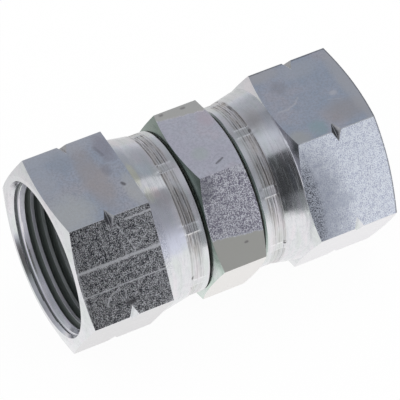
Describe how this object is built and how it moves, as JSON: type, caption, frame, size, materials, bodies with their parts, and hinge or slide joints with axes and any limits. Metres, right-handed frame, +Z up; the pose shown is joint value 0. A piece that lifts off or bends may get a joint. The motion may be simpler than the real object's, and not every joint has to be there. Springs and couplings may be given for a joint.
{
  "type": "hydraulic swivel union fitting",
  "caption": "Straight hydraulic union: a hexagon body with a bored flow passage and a crimped swivel nut with an internal thread at each end.",
  "frame": {"origin": "on the union's axis, halfway between the mouths of the two nuts", "axes": "+X along the axis, out of the right nut's mouth; +Z up, out of the nuts' top flats; -Y is the front"},
  "size_m": [0.0716, 0.0438, 0.038],
  "materials": {
    "zinc_plated_steel": "bright zinc plate over turned and rolled steel"
  },
  "bodies": {
    "body": {"union_body": "zinc_plated_steel"},
    "left_nut": {"left_swivel_nut": "zinc_plated_steel"},
    "right_nut": {"right_swivel_nut": "zinc_plated_steel"}
  },
  "joints": [
    {"name": "left_nut_swivel", "type": "hinge", "parent": "body", "child": "left_nut", "pos_m": [-0.0131, 0, 0], "axis": [1, 0, 0], "continuous": true},
    {"name": "right_nut_swivel", "type": "hinge", "parent": "body", "child": "right_nut", "pos_m": [0.0131, 0, 0], "axis": [1, 0, 0], "continuous": true}
  ]
}
